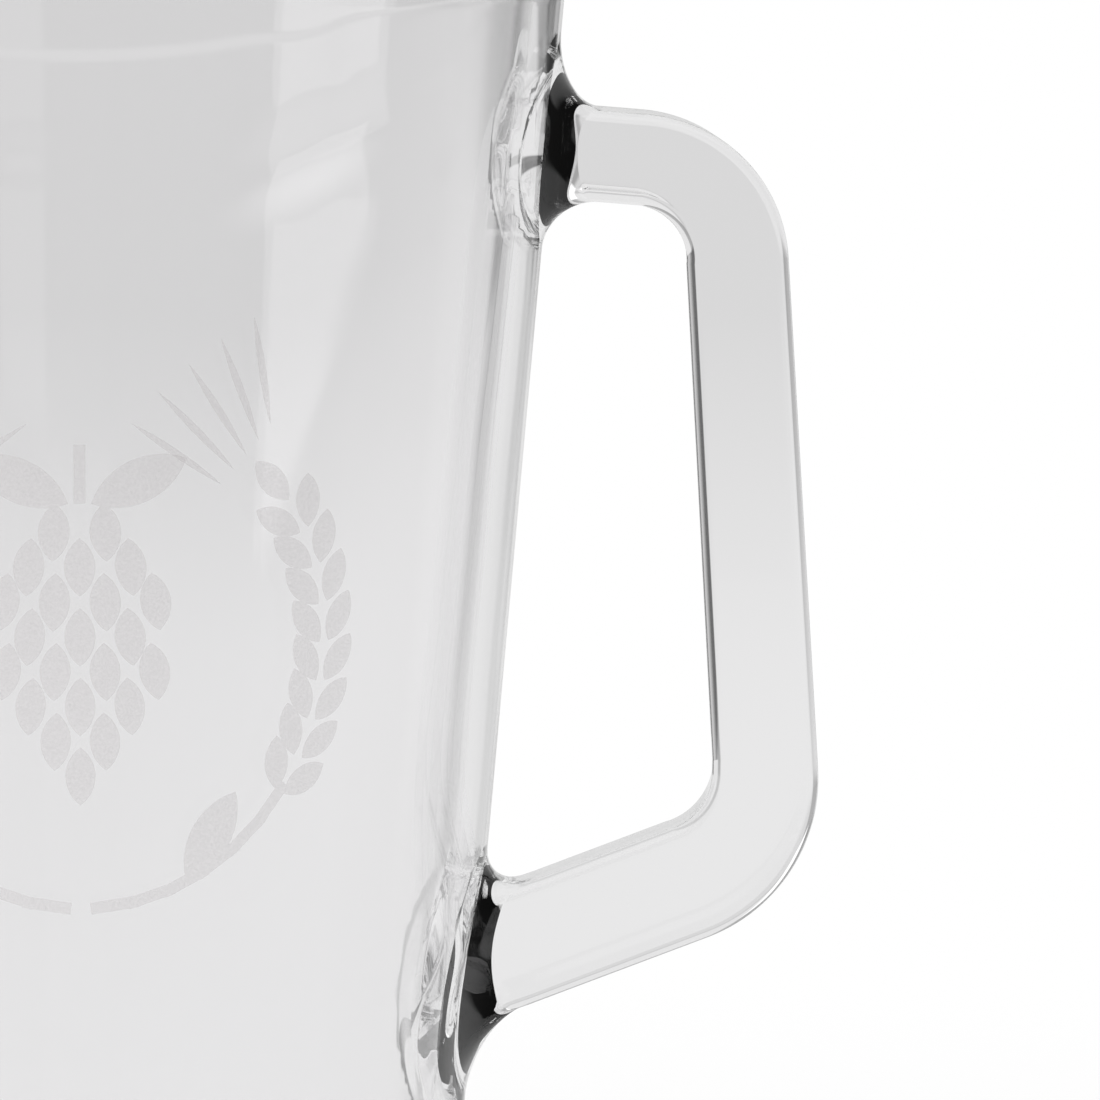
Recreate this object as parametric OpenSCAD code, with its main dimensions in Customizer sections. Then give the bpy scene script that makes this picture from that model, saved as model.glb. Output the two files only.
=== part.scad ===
// A clear glass beer pitcher: a tapered vessel with a pour spout, and a solid D-shaped glass
// handle fused to its wall through two flared welds. A frosted hop cone between two barley
// ears is printed on the front. The origin is the centre of the resting plane, the handle
// is at +X, the spout at -X and the print faces -Y. Lengths are millimetres.

/* [Vessel] */
// Height of the rim above the table
vessel_h = 205; // [185:1:230]
// Outer diameter of the wall's cone at rim height
rim_d = 137.4; // [126:0.2:150]
// Outer diameter of the wall's cone at table height
base_d = 100.4; // [90:0.2:112]
// Thickness of the wall
wall_t = 4.2; // [3.4:0.1:5]
// Height of the floor inside, above the table
floor_h = 13; // [10:0.5:18]
// Radius of the rounded heel outside
heel_r = 7; // [4:0.5:10]
// Radius of the rounding between floor and wall inside
well_r = 14; // [8:0.5:20]
// Width of the ring that the pitcher stands on
ring_w = 7.5; // [5:0.5:12]
// Depth of the hollow inside that ring
hollow_depth = 2.2; // [1:0.1:4]
// Diameter of the round bead along the rim
bead_d = 5.4; // [5:0.1:7]

/* [Spout] */
// How far the spout's lip stands out from the wall at the rim
spout_reach = 11; // [7:0.5:15]
// Outer radius of the spout's horn at the rim
spout_r = 17; // [14:0.5:21]
// Height over which the spout grows out of the wall
spout_h = 46; // [36:1:58]
// Outer radius of the spout's horn at its foot
spout_foot_r = 10; // [8:0.5:12]
// Thickness of the spout's wall
spout_wall_t = 3.8; // [3:0.1:4.6]

/* [Handle] */
// Drop from the rim to where the upper arm's centreline meets the wall
upper_drop = 27.4; // [24:0.2:32]
// Drop from the rim to the top corner of the centreline
top_corner_drop = 29.6; // [26:0.2:34]
// Distance of the top corner from the wall
top_corner_reach = 25.9; // [24:0.1:32]
// Drop from the rim to the low corner of the centreline
low_corner_drop = 126.6; // [116:0.2:134]
// Distance of the low corner from the wall
low_corner_reach = 40.1; // [36:0.1:46]
// Drop from the rim to where the lower arm's centreline meets the wall
lower_drop = 142.1; // [134:0.1:150]
// Radius of the top bend at the centreline
top_bend_r = 14.8; // [12:0.2:16]
// Radius of the low bend at the centreline
low_bend_r = 16.9; // [13:0.1:20]
// Width of the handle from front to back
handle_w = 20; // [17:0.5:24]
// Thickness of the upper arm
upper_arm_t = 12.6; // [11:0.1:14]
// Thickness of the grip at its top
grip_top_t = 13.7; // [12:0.1:15]
// Thickness of the grip at its foot
grip_low_t = 14.1; // [12:0.1:15.5]
// Thickness of the lower arm
lower_arm_t = 14.2; // [12:0.1:15.5]
// Radius of the handle's long edges
handle_edge_r = 2.4; // [1.5:0.1:4]

/* [Welds] */
// Distance from the wall to the handle's ends
weld_len = 7.4; // [5:0.1:8]
// Spread of the upper weld on the wall, above the arm
upper_flare_out = 10.4; // [7:0.1:12]
// Spread of the lower weld on the wall, below the arm
lower_flare_out = 8; // [6:0.1:12]
// Spread of each weld on the wall, on the side of the finger gap
weld_flare_in = 7.4; // [5:0.1:9]
// Spread of a weld on the wall, to the front and to the back
weld_flare_side = 5; // [3:0.1:7]

/* [Print] */
// Drop from the rim to the middle of the print
print_drop = 92; // [84:1:100]
// Thickness of the fired print
print_t = 0.25; // [0.2:0.05:0.4]
// Radius of the wreath that the barley ears follow
wreath_r = 35; // [32:0.5:38]
// Length of a barley kernel
kernel_len = 7.4; // [6:0.2:8]
// Width of a barley kernel
kernel_w = 3.6; // [3:0.1:4]
// Spacing of the kernels along an ear
kernel_pitch = 5.4; // [5:0.1:5.8]
// Length of an awn at the tip of an ear
awn_len = 15; // [12:0.5:18]
// Width of an awn
awn_w = 1; // [0.8:0.1:1.4]
// Length of a hop bract
bract_len = 8; // [6.5:0.1:8.6]
// Width of a hop bract
bract_w = 4.2; // [3.4:0.1:4.6]
// Spacing of the bracts in a row
bract_pitch = 6.8; // [6:0.1:7.6]
// Spacing of the rows of bracts
bract_row_pitch = 4.8; // [4.6:0.1:5.4]
// Length of a leaf
leaf_len = 14; // [10:0.5:16]
// Width of a leaf
leaf_w = 6; // [4:0.2:7]
// Width of the stalks
stalk_w = 1.6; // [1.2:0.1:2]

/* [Hidden] */
$fn = 96;
// Overrun of every cut, and how deep a weld's rim is sunk before the wall trims it
overrun = 8;
weld_sink = 0.6;
// Angle at which a weld's flare runs out on the wall, and the steps of curves
flare_end_angle = 72;
flare_steps = 8;
bend_steps = 12;
edge_steps = 5;
lens_facets = 480;
// Hop rows from the stem down, as bracts in a row, and how the outer bracts lean
bract_counts = [2, 3, 4, 3, 4, 3, 2, 1];
bract_lean_per_pitch = 6;
// Barley: where an ear starts on the wreath, its pairs of kernels, its awns and their angles
stalk_start_angle = -82;
stalk_pieces = 5;
kernel_pairs = 8;
kernel_lean = 30;
kernel_offset_share = 0.72;
awn_count = 5;
awn_fan = 11;
awn_lean = 18;
ear_leaf_lean = 34;
leaf_step = 3;
hop_leaf_lean = 64;

glass = [0.86, 0.89, 0.88, 0.45];
weld_glass = [0.55, 0.57, 0.55, 0.6];
frost = [0.87, 0.84, 0.84];

lean = atan2((rim_d - base_d) / 2, vessel_h);
wall_up = [sin(lean), cos(lean)];
wall_out = [cos(lean), -sin(lean)];
rim_z = vessel_h - bead_d / 2;
function cone_r(z) = base_d / 2 + (rim_d - base_d) / 2 * z / vessel_h;

// Half section of the vessel's taper from z0 to z1, set in from the outer cone by inset
module taper_section(z0, z1, inset, corner_r) {
  level_inset = inset / cos(lean);
  corner = [cone_r(z0) - level_inset - corner_r * (1 - sin(lean)) / cos(lean), z0 + corner_r];
  polygon([[0, z0], [corner.x, z0], corner, corner + corner_r * wall_out,
           [cone_r(z1) - level_inset, z1], [0, z1]]);
  translate(corner) circle(corner_r);
}

// Hollow under the base: a shallow cap whose edge leaves the standing ring
module base_hollow_section() {
  hollow_r = base_d / 2 - heel_r * (1 - sin(lean)) / cos(lean) - ring_w;
  cap_r = (hollow_r * hollow_r + hollow_depth * hollow_depth) / (2 * hollow_depth);
  translate([0, hollow_depth - cap_r]) circle(cap_r);
}

module vessel_section() {
  difference() {
    taper_section(0, rim_z, 0, heel_r);
    taper_section(floor_h, vessel_h + overrun, wall_t, well_r);
    base_hollow_section();
  }
  translate([cone_r(rim_z) - wall_t / 2 / cos(lean), rim_z]) circle(bead_d / 2);
}

// Spout: a horn that leans out of the wall, from a foot hidden in the wall to the rim
spout_foot = [cone_r(vessel_h - spout_h) - wall_t / 2 - spout_foot_r, vessel_h - spout_h];
spout_top = [cone_r(rim_z) + spout_reach - spout_r, rim_z];
spout_axis = spout_top - spout_foot;
spout_len = norm(spout_axis);

module spout_horn(inset) {
  grow = (spout_r - spout_foot_r) / spout_len;
  run = spout_len + overrun;
  translate([-spout_foot.x, 0, spout_foot.y])
    rotate([0, -atan2(spout_axis.x, spout_axis.y), 0])
      cylinder(h = run, r1 = spout_foot_r - inset, r2 = spout_foot_r + grow * run - inset);
}

module spout_shell() {
  difference() {
    union() {
      intersection() {
        spout_horn(0);
        cylinder(h = rim_z, r = spout_top.x + spout_r + overrun);
      }
      translate([-spout_top.x, 0, rim_z])
        rotate_extrude() translate([spout_r - spout_wall_t / 2, 0]) circle(bead_d / 2);
    }
    spout_horn(spout_wall_t);
    rotate_extrude() taper_section(floor_h, vessel_h + overrun, wall_t / 2, well_r);
  }
}

module vessel() {
  color(glass) {
    difference() {
      rotate_extrude() vessel_section();
      spout_horn(spout_wall_t);
    }
    spout_shell();
  }
}

// Handle: four straight-run points in the XZ plane, as [x, z]
upper_z = vessel_h - upper_drop;
lower_z = vessel_h - lower_drop;
top_corner = [cone_r(vessel_h - top_corner_drop) + top_corner_reach, vessel_h - top_corner_drop];
low_corner = [cone_r(vessel_h - low_corner_drop) + low_corner_reach, vessel_h - low_corner_drop];
function heading(a, b) = atan2(b.y - a.y, b.x - a.x);
upper_heading = heading([cone_r(upper_z), upper_z], top_corner);
grip_heading = heading(top_corner, low_corner);
lower_heading = heading([cone_r(lower_z), lower_z], low_corner) - 180;

// Rounded rectangle as [across the handle's plane curve, y]
function arm_section(inner, outer, half_w, r) = [
  for (corner = [0 : 3])
    for (k = [0 : edge_steps])
      let (a = 90 * (corner + k / edge_steps),
           across = corner == 0 || corner == 3 ? outer - r : r - inner,
           y = corner < 2 ? half_w - r : r - half_w)
        [across + r * cos(a), y + r * sin(a)]];

function plain_section(t) = arm_section(t / 2, t / 2, handle_w / 2, handle_edge_r);

// A station of the handle is its centre [x, z], its heading and its thickness
function bend_stations(corner, from, to, r, t_from, t_to) =
  let (lead = r * tan((from - to) / 2),
       centre = corner - lead * [cos(from), sin(from)] + r * [sin(from), -cos(from)])
    [for (k = [0 : bend_steps])
       let (s = k / bend_steps, h = from + (to - from) * s)
         [centre + r * [-sin(h), cos(h)], h, t_from + (t_to - t_from) * s]];

function station_ring(station) =
  let (h = station[1])
    [for (p = plain_section(station[2]))
       [station[0].x - p.x * sin(h), p.y, station[0].y + p.x * cos(h)]];

// A point over the wall's tangent at height z: along is up the wall, lift is out from it
function tangent_point(z, along, y, lift) =
  let (p = [cone_r(z), z] + along * wall_up + lift * wall_out) [p.x, y, p.y];

// The matching point just under the wall's own surface
function wall_point(z, along, y) =
  let (p = tangent_point(z, along, y, 0), r = p.x - weld_sink) [sqrt(r * r - y * y), y, p.z];

// Stretch of an arm's section where it is cut parallel to the wall
function mitre(h) = 1 / (wall_up * [-sin(h), cos(h)]);

// How far up the wall an arm has climbed at the handle's end
function end_climb(h) =
  weld_len * (wall_up * [cos(h), sin(h)]) / (wall_out * [cos(h), sin(h)]);

function arm_end_ring(z, h, t) =
  [for (p = plain_section(t)) tangent_point(z, end_climb(h) + p.x * mitre(h), p.y, weld_len)];

// Closed solid through rings of equal length
module loft(rings) {
  count = len(rings[0]);
  last = count * (len(rings) - 1);
  sides = [for (i = [0 : len(rings) - 2])
             for (k = [0 : count - 1])
               let (a = i * count + k, b = i * count + (k + 1) % count)
                 each [[a, a + count, b], [b, a + count, b + count]]];
  start_cap = [for (k = [0 : count - 1]) k];
  end_cap = [for (k = [count - 1 : -1 : 0]) last + k];
  polyhedron([for (ring = rings) each ring], concat(sides, [start_cap, end_cap]));
}

module handle() {
  stations = concat(
    bend_stations(top_corner, upper_heading, grip_heading, top_bend_r, upper_arm_t, grip_top_t),
    bend_stations(low_corner, grip_heading, lower_heading, low_bend_r, grip_low_t, lower_arm_t));
  color(glass)
    loft(concat([arm_end_ring(upper_z, upper_heading, upper_arm_t)],
                [for (station = stations) station_ring(station)],
                [arm_end_ring(lower_z, lower_heading, lower_arm_t)]));
}

// Section of a weld where it meets the wall
function spread_section(t, flare_out) =
  arm_section(t / 2 + weld_flare_in, t / 2 + flare_out,
              handle_w / 2 + weld_flare_side, handle_edge_r + weld_flare_side);

// Ring of a weld at an angle of its quarter-round flare: 0 at the handle's end
function weld_ring(z, h, t, flare_out, angle) =
  let (from = plain_section(t),
       to = spread_section(t, flare_out),
       reach_share = sin(angle) / sin(flare_end_angle),
       spread_share = (1 - cos(angle)) / (1 - cos(flare_end_angle)))
    [for (k = [0 : len(from) - 1])
       let (start = tangent_point(z, end_climb(h) + from[k].x * mitre(h), from[k].y, weld_len),
            end = wall_point(z, to[k].x * mitre(h), to[k].y),
            up = (to[k].x - from[k].x) * mitre(h) * wall_up,
            spread = [up.x, to[k].y - from[k].y, up.y])
         start + (end - start - spread) * reach_share + spread * spread_share];

// Flat ring inside the wall, which closes a weld before the wall trims it
function weld_root(z, h, t, flare_out) =
  [for (p = spread_section(t, flare_out)) tangent_point(z, p.x * mitre(h), p.y, -overrun)];

module weld(z, h, t, flare_out, forward) {
  rings = concat([for (k = [0 : flare_steps])
                    weld_ring(z, h, t, flare_out, flare_end_angle * k / flare_steps)],
                 [weld_root(z, h, t, flare_out)]);
  order = forward ? [0 : len(rings) - 1] : [len(rings) - 1 : -1 : 0];
  color(weld_glass)
    difference() {
      loft([for (i = order) rings[i]]);
      cylinder(h = vessel_h, r1 = base_d / 2, r2 = rim_d / 2);
    }
}

module upper_weld() {
  weld(upper_z, upper_heading, upper_arm_t, upper_flare_out, false);
}

module lower_weld() {
  weld(lower_z, lower_heading, lower_arm_t, lower_flare_out, true);
}

// Print: flat motifs carried onto the wall, each at its own place along the arc
print_z = vessel_h - print_drop;
print_r = cone_r(print_z);

module print_skin() {
  skin_t = print_t / cos(lean);
  difference() {
    cylinder(h = rim_z, r1 = base_d / 2 + skin_t, r2 = cone_r(rim_z) + skin_t);
    cylinder(h = rim_z, r1 = base_d / 2, r2 = cone_r(rim_z));
  }
}

module on_wall(arc, rise, turn) {
  rotate([0, 0, arc / print_r * 180 / PI])
    translate([0, overrun - print_r, print_z + rise])
      rotate([90, 0, 0])
        linear_extrude(2 * overrun) rotate(turn) children();
}

// Pointed oval along y
module lens(long, wide) {
  r = (long * long + wide * wide) / (4 * wide);
  intersection() {
    translate([wide / 2 - r, 0]) circle(r, $fn = lens_facets);
    translate([r - wide / 2, 0]) circle(r, $fn = lens_facets);
  }
}

module hop_cone_print() {
  rows = len(bract_counts);
  top = bract_row_pitch * (rows - 1) / 2;
  stem_foot = top + bract_len / 2;
  color(frost)
    intersection() {
      print_skin();
      union() {
        for (row = [0 : rows - 1])
          for (i = [0 : bract_counts[row] - 1])
            let (place = i - (bract_counts[row] - 1) / 2)
              on_wall(place * bract_pitch, top - row * bract_row_pitch, place * bract_lean_per_pitch)
                lens(bract_len, bract_w);
        on_wall(0, stem_foot + bract_len / 2, 0) square([stalk_w, bract_len], center = true);
        for (side = [-1, 1])
          on_wall(side * (leaf_len + stalk_w) / 2, stem_foot + leaf_w / 2, -side * hop_leaf_lean)
            lens(leaf_len, leaf_w);
      }
    }
}

// One ear along the wreath: stalk, leaf, pairs of kernels and a fan of awns
module barley_print(side) {
  step_angle = kernel_pitch / wreath_r * 180 / PI;
  ear_start = stalk_start_angle + step_angle * stalk_pieces;
  ear_end = ear_start + step_angle * kernel_pairs;
  color(frost)
    intersection() {
      print_skin();
      union() {
        for (i = [0 : stalk_pieces])
          on_wreath(side, stalk_start_angle + step_angle * i, 0, 0)
            square([stalk_w, kernel_pitch + stalk_w], center = true);
        on_wreath(side, ear_start - step_angle * leaf_step, 0, -ear_leaf_lean)
          translate([0, leaf_len / 2]) lens(leaf_len, leaf_w);
        for (i = [1 : kernel_pairs])
          for (flank = [-1, 1])
            on_wreath(side, ear_start + step_angle * i, flank * kernel_w * kernel_offset_share,
                      flank * kernel_lean)
              lens(kernel_len, kernel_w);
        on_wreath(side, ear_end + step_angle, 0, 0) lens(kernel_len, kernel_w);
        for (i = [0 : awn_count - 1])
          let (fan = i - (awn_count - 1) / 2)
            on_wreath(side, ear_end + step_angle * 2, fan * kernel_w * kernel_offset_share,
                      awn_lean + fan * awn_fan)
              translate([0, awn_len / 2]) lens(awn_len, awn_w);
      }
    }
}

// A place on the wreath: out is away from its centre, turned from the wreath's own direction
module on_wreath(side, angle, out, turn) {
  on_wall(side * (wreath_r + out) * cos(angle), (wreath_r + out) * sin(angle), side * (angle - turn))
    mirror([side < 0 ? 1 : 0, 0]) children();
}

module left_barley_print() {
  barley_print(-1);
}

module right_barley_print() {
  barley_print(1);
}

vessel();
handle();
upper_weld();
lower_weld();
hop_cone_print();
left_barley_print();
right_barley_print();
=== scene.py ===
import math

import bmesh
import bpy
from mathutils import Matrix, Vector
from mathutils.geometry import delaunay_2d_cdt


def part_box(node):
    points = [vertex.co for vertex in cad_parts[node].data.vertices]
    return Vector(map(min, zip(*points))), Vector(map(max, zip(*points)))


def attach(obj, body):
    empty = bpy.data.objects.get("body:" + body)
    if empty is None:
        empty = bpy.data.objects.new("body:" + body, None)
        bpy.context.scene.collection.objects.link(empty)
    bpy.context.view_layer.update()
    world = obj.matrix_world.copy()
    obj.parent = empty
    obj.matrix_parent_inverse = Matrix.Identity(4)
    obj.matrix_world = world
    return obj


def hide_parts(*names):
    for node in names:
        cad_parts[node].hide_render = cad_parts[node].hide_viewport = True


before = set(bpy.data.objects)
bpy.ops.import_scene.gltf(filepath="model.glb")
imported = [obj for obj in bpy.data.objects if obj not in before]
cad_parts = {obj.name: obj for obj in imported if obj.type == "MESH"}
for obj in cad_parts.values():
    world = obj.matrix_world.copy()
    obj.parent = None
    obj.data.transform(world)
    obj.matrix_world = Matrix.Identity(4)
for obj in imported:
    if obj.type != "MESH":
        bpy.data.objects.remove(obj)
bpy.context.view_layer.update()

BODY = "root"

# Vessel, in metres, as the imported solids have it
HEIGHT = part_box("vessel")[1][2]
RIM_R = 0.0687
BASE_R = 0.0502
WALL_T = 0.0042
FLOOR_H = 0.013
HEEL_R = 0.007
WELL_R = 0.014
RING_W = 0.0075
HOLLOW_DEPTH = 0.0022
BEAD_R = 0.0022

# Waves of the inner wall: slow rolls all over, with how many go round the wall and how far the
# upright ones sway, and single bumps with their height on the wall, spread up and down, place and
# spread round the wall in degrees, depth, and rise for each degree
ROLL_LEN = 0.070
ROLL_H = 0.000008
LEVEL_ROLLS = 3
UPRIGHT_ROLLS = 7
ROLL_SWAY = 2
BUMPS = [(0.1745, 0.0055, 56, 12, 0.00034, -0.00045),
         (0.173, 0.0040, 97, 6, 0.00012, 0.0)]
# Swellings of the inner wall where the hot handle was pushed on: middle height, reach below and
# above it, place and half width round the wall in degrees, and depth
SWELLINGS = [(0.1780, 0.0135, 0.0125, -4, 18, 0.0032),
             (0.0560, 0.0160, 0.0200, 4, 20, 0.0032)]
SWELLING_POWER = 1.5

# Spout, opposite the handle
SPOUT_REACH = 0.0108
SPOUT_H = 0.05
SPOUT_HALF_ANGLE = math.radians(24)

# Handle: drops are from the rim, reaches from the wall
UPPER_DROP = 0.0274
TOP_CORNER_DROP = 0.0296
TOP_CORNER_REACH = 0.0259
LOW_CORNER_DROP = 0.1266
LOW_CORNER_REACH = 0.0401
LOWER_DROP = 0.1421
TOP_BEND_R = 0.0148
LOW_BEND_R = 0.0169
HANDLE_W = 0.020
# The handle's inner and outer side: how far each is from the middle at the front, then the draft
# of each, which makes the handle narrower at the back, or wider where it is less than nothing
INNER_DRAFT = math.radians(3.6)
OUTER_DRAFT = math.radians(1.2)
UNDERSIDE_DRAFT = math.radians(-5.0)
UPPER_ARM_SIDES = (0.0063, 0.0067, INNER_DRAFT, OUTER_DRAFT)
GRIP_TOP_SIDES = (0.0078, 0.00668, INNER_DRAFT, OUTER_DRAFT)
GRIP_LOW_SIDES = (0.0080, 0.00693, INNER_DRAFT, OUTER_DRAFT)
LOW_BEND_SIDES = (0.00815, 0.00693, INNER_DRAFT, OUTER_DRAFT)
LOWER_ARM_SIDES = (0.0092, 0.0071, INNER_DRAFT, UNDERSIDE_DRAFT)
# Length above the low bend over which the grip's inner side starts to turn
LOW_BEND_LEAD = 0.0021
# Rounding of the handle's edges: outer back, inner back, inner front, outer front
EDGE_RADII = (0.0008, 0.0008, 0.0018, 0.0016)

# Welds: length along the arm, and the outline on the wall, which is an oval with its own half width
# away from the finger gap (outer), towards it (inner), to the front and to the back. Sag widens the
# outer end, and square is the power of the oval. The flare takes a share of the length above and
# below the arm (edge) and at its sides, where skew gives the outer end more of it
WELD_LEN = 0.0074
UPPER_OUTLINE = {"outer": 0.0167, "inner": 0.0137, "front": 0.0145, "back": 0.0104, "sag": 0.0,
                 "square": 3.0, "edge_share": 0.96, "side_share": 0.52, "skew": -0.11}
LOWER_OUTLINE = {"outer": 0.0170, "inner": 0.0150, "front": 0.0165, "back": 0.0104, "sag": 0.30,
                 "square": 2.6, "edge_share": 0.96, "side_share": 0.30, "skew": 0.11}
# The flare's slope where it leaves the arm and where it meets the wall
EDGE_SLOPES = (math.radians(0), math.radians(90))
SIDE_SLOPES = (math.radians(28), math.radians(50))

# Mesh density: a weld's block of wall cells is square, and some blocks fill the way round
BLOCK = 40
HALF_BLOCK = BLOCK // 2
BLOCKS_ROUND = 6
COLUMNS = BLOCKS_ROUND * BLOCK
CORNER_POINTS = 15
SIDE_POINTS = BLOCK - CORNER_POINTS
MID_CORNER = CORNER_POINTS // 2
RING = 4 * BLOCK
LEAD_STEPS = 4
FLARE_STEPS = 30
BEND_STEPS = 28
STRAIGHT_STEPS = 12
HOLLOW_STEPS = 10
HEEL_STEPS = 10
FOOT_ROWS = 6
MIDDLE_ROWS = 16
BEAD_STEPS = 16
INNER_STEPS = 260
WELL_STEPS = 12
FLOOR_STEPS = 8
# How close the columns stand in the middle of a block
CLOSE_COLUMNS = 0.35
# Distance of the points that give a normal of the inner wall
NORMAL_STEP = 0.0002
# Lowest and highest row of each weld's block
BLOCK_LEVELS = {"lower": (0.030, 0.086), "upper": (0.156, 0.199)}
# Rings between a block's edge and the weld's outline, and inside that outline, by their shares
JOIN_SHARES = (0.2, 0.4, 0.6, 0.8)
PATCH_SHARES = (0.75, 0.5, 0.25)

LEAN = math.atan2(RIM_R - BASE_R, HEIGHT)
WALL_UP = Vector((math.sin(LEAN), 0, math.cos(LEAN)))
WALL_OUT = Vector((math.cos(LEAN), 0, -math.sin(LEAN)))
ACROSS = Vector((0, 1, 0))


def cone_r(z):
    return BASE_R + (RIM_R - BASE_R) * z / HEIGHT


def spaced(first, last, steps):
    return [first + (last - first) * k / steps for k in range(steps + 1)]


def arc(centre, r, first, last, steps):
    """Points of an arc in a half section, by angle in degrees."""
    angles = [math.radians(a) for a in spaced(first, last, steps)]
    return [(centre[0] + r * math.cos(a), centre[1] + r * math.sin(a)) for a in angles]


def corner_centre(z, inset, r):
    """Centre of the rounding between a level at z and the wall's slope."""
    foot = cone_r(z) - inset / math.cos(LEAN)
    return foot - r * (1 - math.sin(LEAN)) / math.cos(LEAN), z + r


# Half section of the vessel, from the middle of the base round to the middle of the floor
def base_section():
    heel = corner_centre(0, 0, HEEL_R)
    hollow_r = heel[0] - RING_W
    cap_r = (hollow_r ** 2 + HOLLOW_DEPTH ** 2) / (2 * HOLLOW_DEPTH)
    hollow = [(r, HOLLOW_DEPTH - cap_r + math.sqrt(cap_r ** 2 - r ** 2))
              for r in spaced(hollow_r / HOLLOW_STEPS, hollow_r, HOLLOW_STEPS - 1)]
    return hollow + arc(heel, HEEL_R, -90, -math.degrees(LEAN), HEEL_STEPS)


def outer_levels():
    """Heights of the wall's rows, and the first row of each weld's block."""
    bead_foot = HEIGHT - BEAD_R - math.sqrt(BEAD_R ** 2 - (WALL_T / 2) ** 2)
    (low, low_top), (high, high_top) = BLOCK_LEVELS["lower"], BLOCK_LEVELS["upper"]
    levels = spaced(HEEL_R * (1 - math.sin(LEAN)), low, FOOT_ROWS)[1:-1]
    starts = {"lower": len(levels)}
    levels += spaced(low, low_top, BLOCK) + spaced(low_top, high, MIDDLE_ROWS)[1:-1]
    starts["upper"] = len(levels)
    return levels + spaced(high, high_top, BLOCK) + [bead_foot], starts


def inner_section():
    bead = (cone_r(HEIGHT - BEAD_R) - WALL_T / 2 / math.cos(LEAN), HEIGHT - BEAD_R)
    open_angle = math.degrees(math.acos(WALL_T / 2 / BEAD_R))
    well = corner_centre(FLOOR_H, WALL_T, WELL_R)
    turn = math.degrees(LEAN)
    wall_inset = WALL_T / math.cos(LEAN)
    wall = [(cone_r(z) - wall_inset, z)
            for z in spaced(bead[1] - BEAD_R, well[1] - WELL_R * math.sin(LEAN), INNER_STEPS)]
    floor = [(r, FLOOR_H) for r in spaced(well[0], well[0] / FLOOR_STEPS, FLOOR_STEPS - 1)[1:]]
    return (arc(bead, BEAD_R, -open_angle - turn, 180 + open_angle - turn, BEAD_STEPS)[1:]
            + wall[1:] + arc(well, WELL_R, -turn, -90, WELL_STEPS)[1:] + floor)


def turned(angle, aside):
    """How far an angle lies from a place round the wall, in degrees."""
    return (math.degrees(angle) - aside + 180) % 360 - 180


def inner_wave(angle, z):
    """Unevenness of the blown inner wall, outwards."""
    way = 2 * math.pi * z / ROLL_LEN
    depth = ROLL_H * math.sin(way + LEVEL_ROLLS * angle)
    depth += ROLL_H * math.sin(UPRIGHT_ROLLS * angle + ROLL_SWAY * math.sin(way))
    for middle, tall, aside, wide, height, tilt in BUMPS:
        turn = turned(angle, aside)
        depth += height * math.exp(-((z - middle - tilt * turn) / tall) ** 2 - (turn / wide) ** 2)
    return depth - swelling(angle, z)


def swelling(angle, z):
    """How far the wall stands in behind the welds."""
    depth = 0.0
    for middle, below, above, aside, half_angle, height in SWELLINGS:
        reach = (z - middle) / (above if z > middle else below)
        share = 1 - (turned(angle, aside) / half_angle) ** 2 - reach ** 2
        depth += height * max(0.0, share) ** SWELLING_POWER
    return depth


def push_spout(point):
    """Moves a point of the rim's zone out to form the pour spout at -X."""
    r = math.hypot(point.x, point.y)
    rise = (point.z - (HEIGHT - SPOUT_H)) / SPOUT_H
    turn = abs(math.atan2(point.y, -point.x)) / SPOUT_HALF_ANGLE
    if rise <= 0 or turn >= 1 or r < BASE_R / 2:
        return point
    push = SPOUT_REACH * rise ** 2 * math.cos(turn * math.pi / 2) ** 2
    return Vector((point.x * (r + push) / r, point.y * (r + push) / r, point.z))


def on_cone(angle, z):
    return Vector((cone_r(z) * math.cos(angle), cone_r(z) * math.sin(angle), z))


def cone_normal(point):
    angle = math.atan2(point.y, point.x)
    return Vector((WALL_OUT.x * math.cos(angle), WALL_OUT.x * math.sin(angle), WALL_OUT.z))


# Handle and welds: sections are (across the handle's curve, y), with the back at +y
def section(arm_sides):
    """Ring round the handle: four straight sides with rounded corners between them."""
    inner, outer, inner_draft, outer_draft = arm_sides
    half_w = HANDLE_W / 2
    sides = [(outer_draft, outer * math.cos(outer_draft) - half_w * math.sin(outer_draft)),
             (math.pi / 2, half_w),
             (math.pi - inner_draft, inner * math.cos(inner_draft) - half_w * math.sin(inner_draft)),
             (3 * math.pi / 2, half_w)]
    arcs = []
    for k, r in enumerate(EDGE_RADII):
        (a, reach_a), (b, reach_b) = sides[k], sides[(k + 1) % 4]
        b += 2 * math.pi if b < a else 0
        turn = math.sin(b - a)
        centre = (((reach_a - r) * math.sin(b) - (reach_b - r) * math.sin(a)) / turn,
                  ((reach_b - r) * math.cos(a) - (reach_a - r) * math.cos(b)) / turn)
        arcs.append(arc(centre, r, math.degrees(a), math.degrees(b), CORNER_POINTS - 1))
    points = []
    for k, corner in enumerate(arcs):
        end, start = Vector(corner[-1]), Vector(arcs[(k + 1) % 4][0])
        points += corner
        points += [tuple(end.lerp(start, (i + 1) / (SIDE_POINTS + 1))) for i in range(SIDE_POINTS)]
    return points


def ring_angle(k):
    """Angle round a weld's outline of the ring's point k, a corner's middle being at 45 degrees."""
    return math.pi / 4 + 2 * math.pi * (k - MID_CORNER) / RING


def squared(across, beside, power):
    """A point of the unit circle moved out onto a rounder or squarer oval."""
    stretch = (abs(across) ** power + abs(beside) ** power) ** (-1 / power)
    return across * stretch, beside * stretch


def heading(a, b):
    return math.atan2(b[1] - a[1], b[0] - a[0])


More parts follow.
